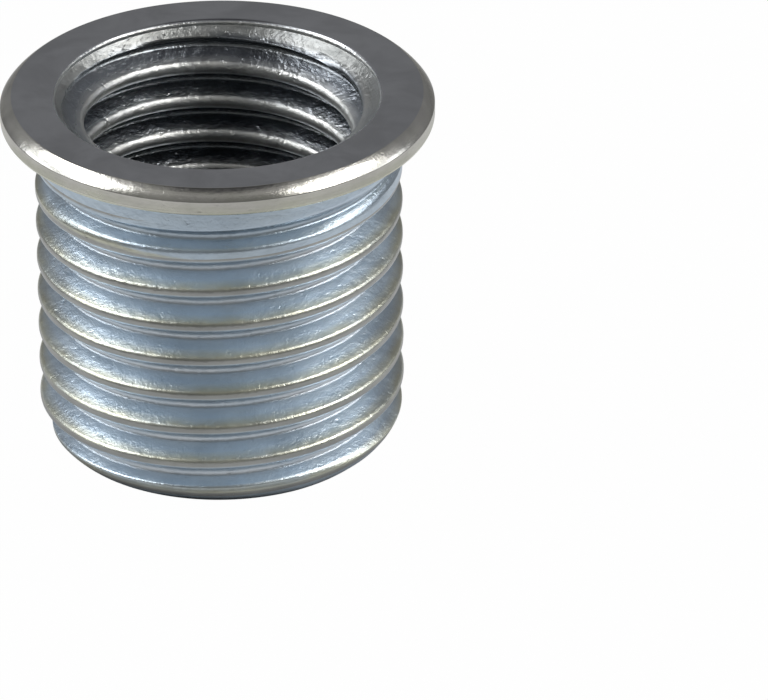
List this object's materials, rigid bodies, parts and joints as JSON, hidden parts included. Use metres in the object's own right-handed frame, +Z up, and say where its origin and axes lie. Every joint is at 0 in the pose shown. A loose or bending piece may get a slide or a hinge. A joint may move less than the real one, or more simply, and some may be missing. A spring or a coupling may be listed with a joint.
{
  "type": "threaded insert",
  "caption": "Flanged cylindrical threaded insert: a short open sleeve with a thread inside and out, a thin round flange on top and a rounded lead at the lower end.",
  "frame": {"origin": "on the axis, in the plane of the lower end that the insert stands on", "axes": "+Z runs up the axis, from the lower end to the flange"},
  "size_m": [0.0168, 0.0168, 0.0145],
  "materials": {
    "zinc_plated_steel": "bright zinc plate with a faint blue passivation"
  },
  "bodies": {
    "root": {"insert": "zinc_plated_steel"}
  },
  "joints": []
}
